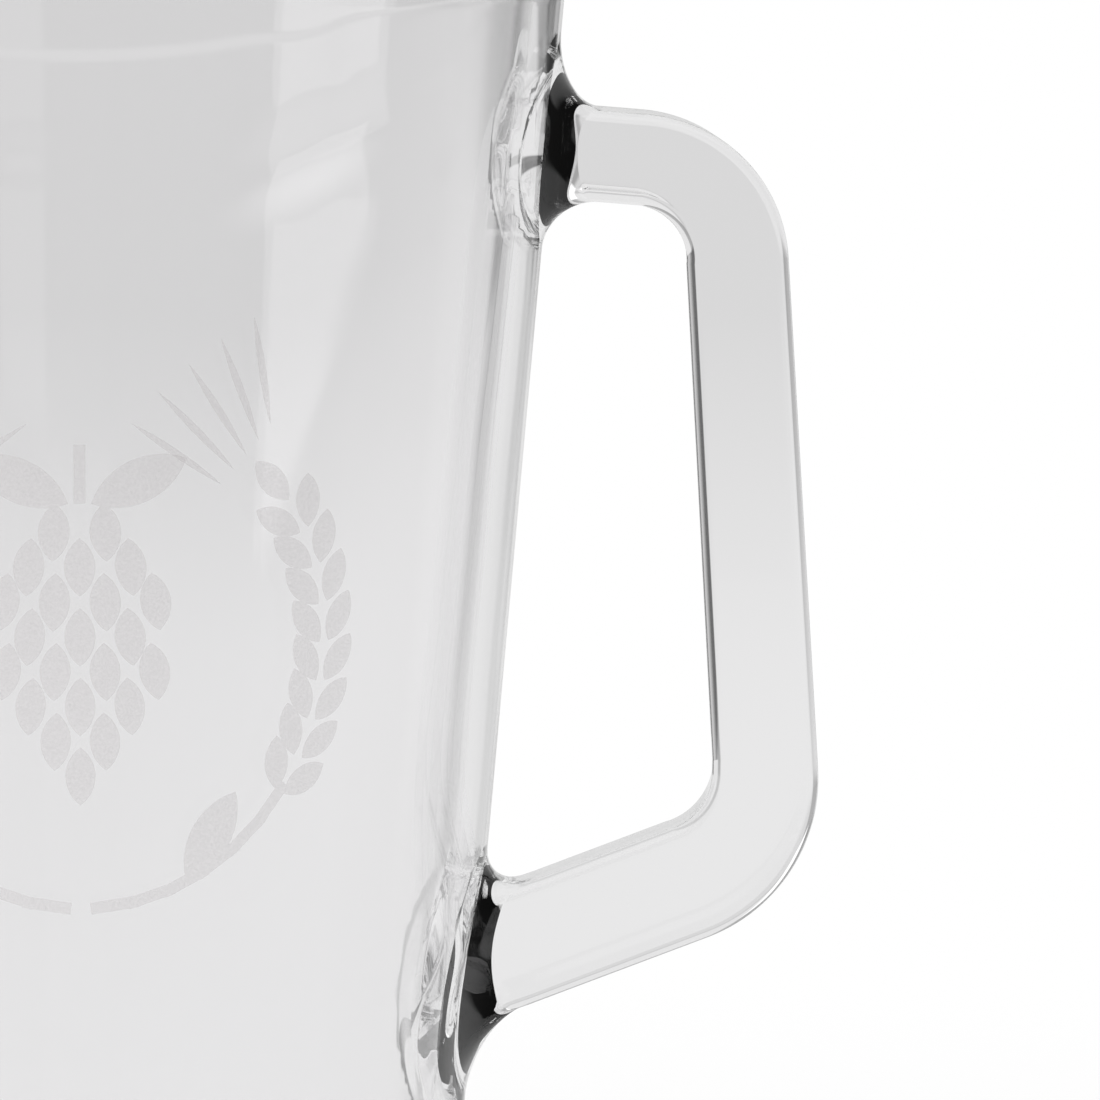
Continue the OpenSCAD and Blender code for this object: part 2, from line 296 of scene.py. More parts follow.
class Arm:
    """An arm of the handle where it meets the wall: its height, heading, section and outline."""

    def __init__(self, z, corner, sides, outline, turn=0.0):
        self.z, self.sides, self.outline = z, sides, outline
        self.heading = heading((cone_r(z), z), corner) + turn
        self.run = Vector((math.cos(self.heading), 0, math.sin(self.heading)))
        side = Vector((-self.run.z, 0, self.run.x))
        self.mitre = 1 / WALL_UP.dot(side)
        self.climb = WELD_LEN * WALL_UP.dot(self.run) / WALL_OUT.dot(self.run)

    def over_wall(self, along, y, lift):
        foot = Vector((cone_r(self.z), 0, self.z))
        return foot + along * WALL_UP + y * ACROSS + lift * WALL_OUT

    def on_wall(self, n, y):
        p = self.over_wall(n * self.mitre, y, 0)
        return Vector((math.sqrt(p.x ** 2 - y ** 2), y, p.z))

    def end_ring(self):
        return [self.over_wall(self.climb + n * self.mitre, y, WELD_LEN)
                for n, y in section(self.sides)]

    def outline_points(self):
        points = []
        for k in range(RING):
            angle = ring_angle(k)
            across, beside = squared(math.cos(angle), math.sin(angle), self.outline["square"])
            reach = self.outline["outer" if across > 0 else "inner"]
            side = self.outline["back" if beside > 0 else "front"]
            points.append((reach * across, side * beside * (1 + self.outline["sag"] * across)))
        return points

    def wall_ring(self):
        return [self.on_wall(n, y) for n, y in self.outline_points()]

    def flare_rings(self):
        """Rings from the arm's end, straight on at first, then flaring out to the wall."""
        arm_points, outline = section(self.sides), self.outline_points()
        leads = [end - self.on_wall(n, y) for end, (n, y) in zip(self.end_ring(), arm_points)]
        beside = [math.sin(ring_angle(k)) ** 2 for k in range(RING)]
        shares = [self.outline["edge_share"] * (1 - b) + self.outline["side_share"] * b
                  + self.outline["skew"] * b * math.cos(ring_angle(k)) for k, b in enumerate(beside)]
        straight = [[end - lead * (1 - share) * s for end, lead, share in
                     zip(self.end_ring(), leads, shares)] for s in spaced(0, 1, LEAD_STEPS)]
        flare = []
        for way in spaced(0, 1, FLARE_STEPS)[1:]:
            ring = []
            for k, b in enumerate(beside):
                first, last = (e * (1 - b) + s * b for e, s in zip(EDGE_SLOPES, SIDE_SLOPES))
                slope = first + (last - first) * way
                spread = (math.cos(first) - math.cos(slope)) / (math.cos(first) - math.cos(last))
                lift = (math.sin(last) - math.sin(slope)) / (math.sin(last) - math.sin(first))
                n, y = Vector(arm_points[k]).lerp(Vector(outline[k]), spread)
                ring.append(self.on_wall(n, y) + leads[k] * shares[k] * lift)
            flare.append(ring)
        return straight + flare


TOP_CORNER = (cone_r(HEIGHT - TOP_CORNER_DROP) + TOP_CORNER_REACH, HEIGHT - TOP_CORNER_DROP)
LOW_CORNER = (cone_r(HEIGHT - LOW_CORNER_DROP) + LOW_CORNER_REACH, HEIGHT - LOW_CORNER_DROP)
ARMS = {"upper": Arm(HEIGHT - UPPER_DROP, TOP_CORNER, UPPER_ARM_SIDES, UPPER_OUTLINE),
        "lower": Arm(HEIGHT - LOWER_DROP, LOW_CORNER, LOWER_ARM_SIDES, LOWER_OUTLINE, -math.pi)}


def bend(corner, first, last, r, sides_first, sides_last):
    """Stations round a bend: centre, heading and sides."""
    lead = r * math.tan((first - last) / 2)
    x = corner[0] - lead * math.cos(first) + r * math.sin(first)
    z = corner[1] - lead * math.sin(first) - r * math.cos(first)
    stations = []
    for k, h in enumerate(spaced(first, last, BEND_STEPS)):
        sides = Vector(sides_first).lerp(Vector(sides_last), k / BEND_STEPS)
        stations.append((Vector((x - r * math.sin(h), z + r * math.cos(h))), h, sides))
    return stations


def between(a, b, steps):
    """Stations between two stations, without either."""
    shares = [k / steps for k in range(1, steps)]
    return [(a[0].lerp(b[0], s), a[1] + (b[1] - a[1]) * s, a[2].lerp(b[2], s)) for s in shares]


def station_ring(station):
    (x, z), h, sides = station
    return [Vector((x - n * math.sin(h), y, z + n * math.cos(h))) for n, y in section(sides)]


def handle_rings():
    grip = heading(TOP_CORNER, LOW_CORNER)
    upper, lower = ARMS["upper"], ARMS["lower"]
    top = bend(TOP_CORNER, upper.heading, grip, TOP_BEND_R, UPPER_ARM_SIDES, GRIP_TOP_SIDES)
    low = bend(LOW_CORNER, grip, lower.heading, LOW_BEND_R, LOW_BEND_SIDES, LOWER_ARM_SIDES)
    lead = LOW_BEND_LEAD * Vector((math.cos(grip), math.sin(grip)))
    foot = (low[0][0] - lead, grip, Vector(GRIP_LOW_SIDES))
    stations = top + between(top[-1], foot, STRAIGHT_STEPS) + [foot]
    stations += between(foot, low[0], LEAD_STEPS) + low
    return [upper.end_ring()] + [station_ring(s) for s in stations] + [lower.end_ring()]


# Meshes
GLASS_SLOT, FUSED_SLOT = 0, 1


class Builder:
    """Collects vertices and faces of one piece, and the normals that are known exactly."""

    def __init__(self):
        self.points, self.faces, self.slots, self.normals = [], [], [], {}

    def add(self, point, normal=None):
        self.points.append(point)
        if normal is not None:
            self.normals[len(self.points) - 1] = normal
        return len(self.points) - 1

    def add_ring(self, ring, normals=None):
        return [self.add(p, normals[k] if normals else None) for k, p in enumerate(ring)]

    def face(self, corners, slot=GLASS_SLOT):
        self.faces.append(corners)
        self.slots.append(slot)

    def bridge(self, a, b, slot=GLASS_SLOT):
        for k in range(len(a)):
            j = (k + 1) % len(a)
            self.face((a[k], a[j], b[j], b[k]), slot)

    def fan(self, ring, centre, slot=GLASS_SLOT):
        for k in range(len(ring)):
            self.face((ring[k], ring[(k + 1) % len(ring)], centre), slot)

    def cap(self, ring):
        """Closes a ring where the next piece is melted on."""
        middle = sum((self.points[k] for k in ring), Vector()) / len(ring)
        self.fan(ring, self.add(middle), FUSED_SLOT)

    def make(self, name, materials):
        mesh = bpy.data.meshes.new(name)
        mesh.from_pydata([tuple(p) for p in self.points], [], self.faces)
        for material in materials:
            mesh.materials.append(material)
        mesh.polygons.foreach_set("material_index", self.slots)
        bm = bmesh.new()
        bm.from_mesh(mesh)
        bmesh.ops.recalc_face_normals(bm, faces=bm.faces)
        bm.to_mesh(mesh)
        bm.free()
        soften(mesh, self.normals)
        piece = bpy.data.objects.new(name, mesh)
        bpy.context.scene.collection.objects.link(piece)
        return piece


def soften(mesh, known):
    """Smooth normals over the glass faces alone, with the known ones as given."""
    sums = [Vector() for _ in mesh.vertices]
    for polygon in mesh.polygons:
        if polygon.material_index == GLASS_SLOT:
            for v in polygon.vertices:
                sums[v] += polygon.normal * polygon.area
    for v, normal in known.items():
        sums[v] = normal if sums[v].dot(normal) >= 0 else -normal
    custom = []
    for polygon in mesh.polygons:
        polygon.use_smooth = polygon.material_index == GLASS_SLOT
        for v in polygon.vertices:
            custom.append(tuple(sums[v].normalized() if polygon.use_smooth else polygon.normal))
    mesh.normals_split_custom_set(custom)


def shrink_rings(ring, arm, shares):
    """Rings on the wall inside a weld's outline, towards its middle."""
    angles = [math.atan2(p.y, p.x) for p in ring]
    return [[on_cone(a * s, arm.z + (p.z - arm.z) * s) for a, p in zip(angles, ring)]
            for s in shares]


def fused_patch(builder, outline, arm):
    """The hidden face where a weld and the wall are one glass."""
    last = outline
    for ring in shrink_rings([builder.points[k] for k in outline], arm, PATCH_SHARES):
        ring = builder.add_ring(ring)
        builder.bridge(last, ring, FUSED_SLOT)
        last = ring
    builder.fan(last, builder.add(on_cone(0, arm.z)), FUSED_SLOT)


def block_loop(grid, first_row, arm):
    """Grid vertices round a weld's block, in the order of the weld's own ring."""
    up = 1 if arm.mitre > 0 else -1
    corners = [(1, 1), (-1, 1), (-1, -1), (1, -1)]
    loop = []
    for k, (n, y) in enumerate(corners):
        n_next, y_next = corners[(k + 1) % 4]
        for i in range(BLOCK):
            row = HALF_BLOCK + up * round(HALF_BLOCK * n + (n_next - n) * HALF_BLOCK * i / BLOCK)
            column = round(HALF_BLOCK * y + (y_next - y) * HALF_BLOCK * i / BLOCK)
            loop.append(grid[first_row + row][column % COLUMNS])
    return loop[-MID_CORNER:] + loop[:-MID_CORNER]


def weld_block(builder, grid, first_row, arm):
    """The wall round a weld: rings from the block's edge in to the weld's outline."""
    edge = block_loop(grid, first_row, arm)
    outline_points = arm.wall_ring()
    last = edge
    for share in reversed(JOIN_SHARES):
        ring = []
        for k, p in zip(edge, outline_points):
            q = builder.points[k]
            angle = math.atan2(p.y, p.x) * (1 - share) + math.atan2(q.y, q.x) * share
            ring.append(on_cone(angle, p.z + (q.z - p.z) * share))
        ring = builder.add_ring(ring, [cone_normal(p) for p in ring])
        builder.bridge(last, ring)
        last = ring
    outline = builder.add_ring(outline_points, [cone_normal(p) for p in outline_points])
    builder.bridge(last, outline)
    fused_patch(builder, outline, arm)


def in_block(row, column, starts):
    """True for a wall cell that a weld's block covers."""
    beside = column < HALF_BLOCK or column >= COLUMNS - HALF_BLOCK
    return beside and any(first <= row < first + BLOCK for first in starts.values())


def column_angle(column):
    """Angle of a column; the columns stand closer together behind the handle."""
    offset = (column + COLUMNS // 2) % COLUMNS - COLUMNS // 2
    share = offset / HALF_BLOCK
    if abs(share) < 1:
        share = CLOSE_COLUMNS * share + (1 - CLOSE_COLUMNS) * share ** 3
    return share * math.pi / BLOCKS_ROUND


def inner_point(angle, z):
    r = cone_r(z) - WALL_T / math.cos(LEAN) + inner_wave(angle, z)
    return Vector((r * math.cos(angle), r * math.sin(angle), z))


def inner_normal(angle, z):
    """Normal of the wavy inner wall, from points close by."""
    turn, rise = NORMAL_STEP / RIM_R, NORMAL_STEP
    along = inner_point(angle + turn, z) - inner_point(angle - turn, z)
    up = inner_point(angle, z + rise) - inner_point(angle, z - rise)
    return up.cross(along).normalized()


def vessel_grid(builder, base, wall, inner):
    """Rows of vertices along the half section, each row all the way round."""
    first_inner = len(base) + len(wall) + BEAD_STEPS
    grid = []
    for row, (r, z) in enumerate(base + wall + inner):
        inside = first_inner < row < first_inner + INNER_STEPS
        outside = len(base) <= row < len(base) + len(wall) - 1
        ring = []
        for column in range(COLUMNS):
            angle = column_angle(column)
            point = Vector((r * math.cos(angle), r * math.sin(angle), z))
            if inside:
                point = inner_point(angle, z)
            pushed = push_spout(point)
            normal = None
            if pushed == point and inside:
                normal = inner_normal(angle, z)
            elif pushed == point and outside:
                normal = cone_normal(point)
            ring.append(builder.add(pushed, normal))
        grid.append(ring)
    return grid


def build_vessel(materials):
    builder = Builder()
    levels, starts = outer_levels()
    base = base_section()
    starts = {name: first + len(base) for name, first in starts.items()}
    grid = vessel_grid(builder, base, [(cone_r(z), z) for z in levels], inner_section())
    for row in range(len(grid) - 1):
        for column in range(COLUMNS):
            if not in_block(row, column, starts):
                after = (column + 1) % COLUMNS
                builder.face((grid[row][column], grid[row][after],
                              grid[row + 1][after], grid[row + 1][column]))
    for name, first in starts.items():
        weld_block(builder, grid, first, ARMS[name])
    builder.fan(grid[0], builder.add(Vector((0, 0, HOLLOW_DEPTH))))
    builder.fan(grid[-1], builder.add(Vector((0, 0, FLOOR_H))))
    return drop_unused(builder).make("vessel_glass", materials)


def drop_unused(builder):
    """A builder without the grid points that the blocks have replaced."""
    used = {k for face in builder.faces for k in face}
    kept = Builder()
    new = {k: kept.add(p, builder.normals.get(k)) for k, p in enumerate(builder.points) if k in used}
    for corners, slot in zip(builder.faces, builder.slots):
        kept.face(tuple(new[k] for k in corners), slot)
    return kept


def ring_normals(ring, toward):
    """Normals of a section's ring that leaves along the direction toward."""
    normals = []
    for k in range(len(ring)):
        along = ring[(k + 1) % len(ring)] - ring[k - 1]
        normals.append(along.cross(toward).normalized())
    return normals


def build_weld(name, arm, materials):
    builder = Builder()
    rings = arm.flare_rings()
    first = builder.add_ring(rings[0], ring_normals(rings[0], arm.run))
    last = first
    for ring in rings[1:-1]:
        ring = builder.add_ring(ring)
        builder.bridge(last, ring)
        last = ring
    outline = builder.add_ring(rings[-1])
    builder.bridge(last, outline)
    builder.cap(first)
    fused_patch(builder, outline, arm)
    return builder.make(name, materials)


def build_handle(materials):
    builder = Builder()
    rings = handle_rings()
    indices = []
    for k, ring in enumerate(rings):
        arm = {0: ARMS["upper"], len(rings) - 1: ARMS["lower"]}.get(k)
        indices.append(builder.add_ring(ring, ring_normals(ring, arm.run) if arm else None))
    for a, b in zip(indices, indices[1:]):
        builder.bridge(a, b)
    builder.cap(indices[0])
    builder.cap(indices[-1])
    return builder.make("handle_glass", materials)


# Print on the front: a hop cone between two barley ears, drawn flat as (arc, rise)
PRINT_DROP = 0.092
PRINT_Z = HEIGHT - PRINT_DROP
PRINT_R = cone_r(PRINT_Z)
PRINT_LIFT = 0.00005
PRINT_T = 0.00015
PRINT_GRID = 0.0015
PRINT_MERGE = 1e-7
WREATH_R = 0.035
KERNEL = (0.0074, 0.0036)
KERNEL_PITCH = 0.0054
AWN = (0.015, 0.001)
BRACT = (0.008, 0.0042)
BRACT_PITCH = 0.0068
BRACT_ROW_PITCH = 0.0048
LEAF = (0.014, 0.006)
STALK_W = 0.0016
BRACT_COUNTS = [2, 3, 4, 3, 4, 3, 2, 1]
BRACT_LEAN = math.radians(6)
STALK_START = math.radians(-82)
STALK_PIECES = 5
KERNEL_PAIRS = 8
KERNEL_LEAN = math.radians(30)
KERNEL_SPREAD = 0.72
KERNEL_OFFSET = KERNEL_SPREAD * KERNEL[1]
AWN_COUNT = 5
AWN_FAN = math.radians(11)
AWN_LEAN = math.radians(18)
EAR_LEAF_LEAN = math.radians(34)
EAR_LEAF_STEP = 3
HOP_LEAF_LEAN = math.radians(64)
LENS_STEPS = 12


def lens(long, wide, foot=0.0):
    """Pointed oval along y, about the origin or with its lower tip moved by foot."""
    r = (long ** 2 + wide ** 2) / (4 * wide)
    half = math.asin(long / 2 / r)
    sweep = spaced(-half, half, LENS_STEPS)
    right = [(r * math.cos(a) + wide / 2 - r, r * math.sin(a) + foot) for a in sweep]
    left = [(-x, y) for x, y in reversed(right[1:-1])]
    return right + left


def bar(wide, long):
    return [(-wide / 2, -long / 2), (wide / 2, -long / 2), (wide / 2, long / 2), (-wide / 2, long / 2)]


def laid(shape, arc_at, rise_at, turn):
    """A flat shape turned and moved to its place in the print."""
    c, s = math.cos(turn), math.sin(turn)
    return [Vector((arc_at + x * c - y * s, rise_at + x * s + y * c)) for x, y in shape]


def on_wreath(shape, side, angle, out, turn):
    reach = WREATH_R + out
    return laid(shape, side * reach * math.cos(angle), reach * math.sin(angle), side * (angle - turn))


def hop_shapes():
    top = BRACT_ROW_PITCH * (len(BRACT_COUNTS) - 1) / 2
    stem = top + BRACT[0] / 2
    shapes = []
    for row, count in enumerate(BRACT_COUNTS):
        for i in range(count):
            offset = i - (count - 1) / 2
            shapes.append(laid(lens(*BRACT), offset * BRACT_PITCH, top - row * BRACT_ROW_PITCH,
                               offset * BRACT_LEAN))
    shapes.append(laid(bar(STALK_W, BRACT[0]), 0, stem + BRACT[0] / 2, 0))
    for side in (-1, 1):
        shapes.append(laid(lens(*LEAF), side * (LEAF[0] + STALK_W) / 2, stem + LEAF[1] / 2,
                           -side * HOP_LEAF_LEAN))
    return shapes


def barley_shapes(side):
    step_angle = KERNEL_PITCH / WREATH_R
    start = STALK_START + step_angle * STALK_PIECES
    end = start + step_angle * KERNEL_PAIRS
    shapes = [on_wreath(bar(STALK_W, KERNEL_PITCH + STALK_W), side, STALK_START + step_angle * i, 0, 0)
              for i in range(STALK_PIECES + 1)]
    shapes.append(on_wreath(lens(*LEAF, LEAF[0] / 2), side, start - step_angle * EAR_LEAF_STEP, 0,
                            -EAR_LEAF_LEAN))
    for i in range(1, KERNEL_PAIRS + 1):
        for flank in (-1, 1):
            shapes.append(on_wreath(lens(*KERNEL), side, start + step_angle * i, flank * KERNEL_OFFSET,
                                    flank * KERNEL_LEAN))
    shapes.append(on_wreath(lens(*KERNEL), side, end + step_angle, 0, 0))
    for i in range(AWN_COUNT):
        fan = i - (AWN_COUNT - 1) / 2
        shapes.append(on_wreath(lens(*AWN, AWN[0] / 2), side, end + 2 * step_angle, fan * KERNEL_OFFSET,
                                AWN_LEAN + fan * AWN_FAN))
    return shapes


def merged(shapes):
    """Points and triangles of the flat shapes joined into one, with points to bend at."""
    points = [p for shape in shapes for p in shape]
    faces, first = [], 0
    for shape in shapes:
        faces.append(list(range(first, first + len(shape))))
        first += len(shape)
    low = [min(p[k] for p in points) for k in (0, 1)]
    counts = [int((max(p[k] for p in points) - low[k]) / PRINT_GRID) for k in (0, 1)]
    for i in range(counts[0] + 1):
        for j in range(counts[1] + 1):
            points.append(Vector((low[0] + (i + 0.5) * PRINT_GRID, low[1] + (j + 0.5) * PRINT_GRID)))
    flat, _, triangles, _, _, _ = delaunay_2d_cdt(points, [], faces, 1, PRINT_MERGE)
    return flat, triangles


def on_print(p, lift):
    z = PRINT_Z + p.y
    angle = p.x / PRINT_R - math.pi / 2
    point = on_cone(angle, z)
    return point + cone_normal(point) * lift


def build_print(name, shapes, material):
    """A thin closed skin over the wall in the outline of the shapes."""
    flat, triangles = merged(shapes)
    builder = Builder()
    used = sorted({k for t in triangles for k in t})
    under = {k: builder.add(on_print(flat[k], PRINT_LIFT)) for k in used}
    over = {k: builder.add(on_print(flat[k], PRINT_LIFT + PRINT_T)) for k in used}
    rims = {}
    for triangle in triangles:
        builder.face([over[k] for k in triangle])
        builder.face([under[k] for k in reversed(triangle)])
        for a, b in zip(triangle, triangle[1:] + triangle[:1]):
            rims[(a, b)] = (b, a) not in rims
            if (b, a) in rims:
                rims[(b, a)] = False
    for (a, b), open_rim in rims.items():
        if open_rim:
            builder.face([under[a], under[b], over[b], over[a]])
    return builder.make(name, [material])


# Node trees
class Graph:
    """The node tree of a material or of the world, emptied, with short calls to fill it."""

    def __init__(self, tree):
        self.nodes, self.links = tree.nodes, tree.links
        self.nodes.clear()

    def feed(self, socket, value):
        """Sets a socket to a plain value, or links another socket to it."""
        if isinstance(value, bpy.types.NodeSocket):
            self.links.new(value, socket)
        else:
            socket.default_value = value

    def add(self, kind, inputs=None):
        """A new node, with some of its inputs fed by name."""
        node = self.nodes.new(kind)
        for name, value in (inputs or {}).items():
            self.feed(node.inputs[name], value)
        return node

    def fill(self, kind, *values):
        """A new node, with its first inputs fed in order."""
        node = self.nodes.new(kind)
        for socket, value in zip(node.inputs, values):
            self.feed(socket, value)
        return node

    def maths(self, operation, *values):
        node = self.fill("ShaderNodeMath", *values)
        node.operation = operation
        return node.outputs[0]

    def times(self, a, b):
        return self.maths("MULTIPLY", a, b)

    def most(self, a, b):
        return self.maths("MAXIMUM", a, b)

    def rest(self, share):
        """What a share leaves of one."""
        return self.maths("SUBTRACT", 1.0, share)

    def step(self, value, start, end, low=0.0, high=1.0):
        """Runs smoothly from low to high as the value goes from start to end."""
        rising = start < end
        node = self.add("ShaderNodeMapRange", {
            "Value": value, "From Min": min(start, end), "From Max": max(start, end),
            "To Min": low if rising else high, "To Max": high if rising else low})
        node.interpolation_type = "SMOOTHSTEP"
        return node.outputs[0]

    def mixed(self, share, first, second):
        """A value between two, by share."""
        node = self.nodes.new("ShaderNodeMix")
        node.data_type = "FLOAT"
        for name, value in (("Factor", share), ("A", first), ("B", second)):
            self.feed(node.inputs[name], value)
        return node.outputs["Result"]

    def noise(self, scale, detail, stretch):
        """Noise in the piece's own space, drawn out where its stretch is less than one."""
        coords = self.add("ShaderNodeTexCoord")
        mapping = self.add("ShaderNodeMapping", {"Vector": coords.outputs["Object"], "Scale": stretch})
        texture = self.add("ShaderNodeTexNoise", {
            "Vector": mapping.outputs["Vector"], "Scale": scale, "Detail": detail})
        return texture.outputs["Fac"]

    def ramp(self, value, stops, colours):
        """A colour between two, by where the value lies between two stops."""
        node = self.add("ShaderNodeValToRGB", {"Fac": value})
        for element, stop, colour in zip(node.color_ramp.elements, stops, colours):
            element.position = stop
            element.color = (*colour, 1)
        return node.outputs["Color"]

    def show(self, shader, kind="ShaderNodeOutputMaterial"):
        self.add(kind, {"Surface": shader.outputs[0]})


# Materials
def new_material(name):
    material = bpy.data.materials.new(name)
    material.use_nodes = True
    return material, Graph(material.node_tree)


# Glass: two tints and the slow noise between them, the noise of drawn-out streaks and the ripple
# that they make, and the tint of the light that lamps send through. A noise has its scale, its
# detail and its stretch
GLASS_IOR = 1.52
GLASS_TINTS = [(0.985, 0.98, 0.984), (0.99, 0.988, 0.992)]
TINT_STOPS = (0.3, 0.7)
TINT_NOISE = (14.0, 2.0, (1, 1, 0.4))
STREAK_NOISE = (60.0, 1.0, (1, 1, 0.04))
RIPPLE_STRENGTH = 0.02
RIPPLE_DEPTH = 0.0004
SHADOW_TINT = (0.93, 0.94, 0.935, 1)


def glass_material(name):
    """Clear glass that the lamps shine through."""
    material, graph = new_material(name)
    bump = graph.add("ShaderNodeBump", {
        "Strength": RIPPLE_STRENGTH, "Distance": RIPPLE_DEPTH, "Height": graph.noise(*STREAK_NOISE)})
    glass = graph.add("ShaderNodeBsdfPrincipled", {
        "Base Color": graph.ramp(graph.noise(*TINT_NOISE), TINT_STOPS, GLASS_TINTS),
        "Transmission Weight": 1.0, "IOR": GLASS_IOR, "Roughness": 0.0,
        "Normal": bump.outputs["Normal"]})
    clear = graph.add("ShaderNodeBsdfTransparent", {"Color": SHADOW_TINT})
    path = graph.add("ShaderNodeLightPath")
    lighting = graph.most(path.outputs["Is Shadow Ray"], path.outputs["Is Diffuse Ray"])
    graph.show(graph.fill("ShaderNodeMixShader", lighting, glass.outputs[0], clear.outputs[0]))
    return material


def fused_material():
    """Where two melted pieces are one glass, light passes as if nothing were there."""
    material, graph = new_material("fused_joint")
    graph.show(graph.add("ShaderNodeBsdfTransparent"))
    return material


# Print material: its grain, the share of the light that each skin stops, and its colours
GRAIN_NOISE = (2600.0, 3.0, (1, 1, 1))
GRAIN_STOPS = (0.35, 0.65)
PRINT_COVER = (0.125, 0.18)
PRINT_COLOURS = [(0.72, 0.67, 0.68), (0.82, 0.78, 0.79)]
PRINT_ROUGHNESS = 0.7
PRINT_SHINE = 0.2


def print_material():
    """Fired frosted print: pale, grainy and mostly clear."""
    material, graph = new_material("frosted_print")
    grain = graph.noise(*GRAIN_NOISE)
    graph.show(graph.add("ShaderNodeBsdfPrincipled", {
        "Base Color": graph.ramp(grain, GRAIN_STOPS, PRINT_COLOURS),
        "Roughness": PRINT_ROUGHNESS, "Specular IOR Level": PRINT_SHINE,
        "Alpha": graph.step(grain, *GRAIN_STOPS, *PRINT_COVER)}))
    return material


# Floor: it fades out with distance, and has a little light of its own for the camera
FLOOR_R = 30.0
FLOOR_SEGMENTS = 96
FLOOR_COLOUR = (0.8, 0.8, 0.8, 1)
FLOOR_FADE = (-0.3, 0.5)
FLOOR_GLOW = 0.08


def floor_material():
    """Pale table that takes the object's shadow."""
    material, graph = new_material("studio_floor")
    table = graph.add("ShaderNodeBsdfDiffuse", {"Color": FLOOR_COLOUR})
    path = graph.add("ShaderNodeLightPath")
    strength = graph.times(path.outputs["Is Camera Ray"], FLOOR_GLOW)
    glow = graph.add("ShaderNodeEmission", {"Strength": strength})
    lit = graph.fill("ShaderNodeAddShader", table.outputs[0], glow.outputs[0])
    coords = graph.add("ShaderNodeTexCoord")
    reach = graph.fill("ShaderNodeVectorMath", coords.outputs["Object"])
    reach.operation = "LENGTH"
    fade = graph.step(reach.outputs["Value"], *FLOOR_FADE)
    clear = graph.add("ShaderNodeBsdfTransparent")
    graph.show(graph.fill("ShaderNodeMixShader", fade, lit.outputs[0], clear.outputs[0]))
    return material


def build_floor():
    mesh = bpy.data.meshes.new("studio_floor")
    bm = bmesh.new()
    bmesh.ops.create_circle(bm, cap_ends=True, radius=FLOOR_R, segments=FLOOR_SEGMENTS)
    bm.to_mesh(mesh)
    bm.free()
    mesh.materials.append(floor_material())
    floor = bpy.data.objects.new("studio_floor", mesh)
    bpy.context.scene.collection.objects.link(floor)


# Surround, by elevation and by azimuth from +Y towards +X, in degrees. Each edge is soft and has
# two angles, where it starts and where it ends
BACKDROP_ELEVATIONS = (-6.5, -2.5)
BACKDROP_LEVELS = (0.82, 0.60)
BACKDROP_LEFT = (-75, -55)
BACKDROP_SHADE = (-22, -9)
BACKDROP_SHADE_LEVEL = 0.72
BACKDROP_RIGHT = (14, 18)
BACKDROP_HIGH = (0, 6)
BACKDROP_TOP = (60, 80)
CEILING_FOOT = (36, 48)
CEILING_LEVEL = 0.7
TABLE_EDGE = (-5.7, -5.2)
TABLE_ELEVATIONS = (-12, -6)
TABLE_LEVELS = (0.80, 0.78)
TABLE_GAP = ((46, 52), (105, 125))
TABLE_GAP_FOOT = (-9.5, -7.5)
HORIZON_TOP = (1, 6)
HORIZON_LEVEL = 0.7
DARK_LEFT = (14, 18)
DARK_RIGHT = (120, 140)
WALL_RIGHT = (75, 95)
WALL_FOOT = (-2, 0)
WALL_TOP = (40, 60)
WALL_LEVEL = 0.8
ROOM_LEVEL = 0.1
GLOW_LEFT = (17, 40)
GLOW_RIGHT = (46, 52)
GLOW_LEVEL = 0.55
# Dark stands: left and right edge, lower edge, and the shares of shade below and above it
STANDS = [((14, 18), (21, 26), (-7.8, -6.4), (0.32, 0.5)),
          ((-45, -38), (-15, -11), (-9, -5.5), (0.0, 0.42))]
# Soft panels: left and right edge, lower and upper edge, and level
PANELS = [((-127.5, -126), (-93, -91), (3.4, 3.9), (40, 45), 1.4),
          ((157, 160), (170, 172), (5.1, 5.7), (40, 45), 0.5),
          ((-24, -20), (-12, -9), (-1, 1), (14, 18), 1.2)]
# Even light that all but glass takes from the surround, and the white that the camera sees
EVEN_LEVEL = 0.5
WHITE_LEVEL = 1.0


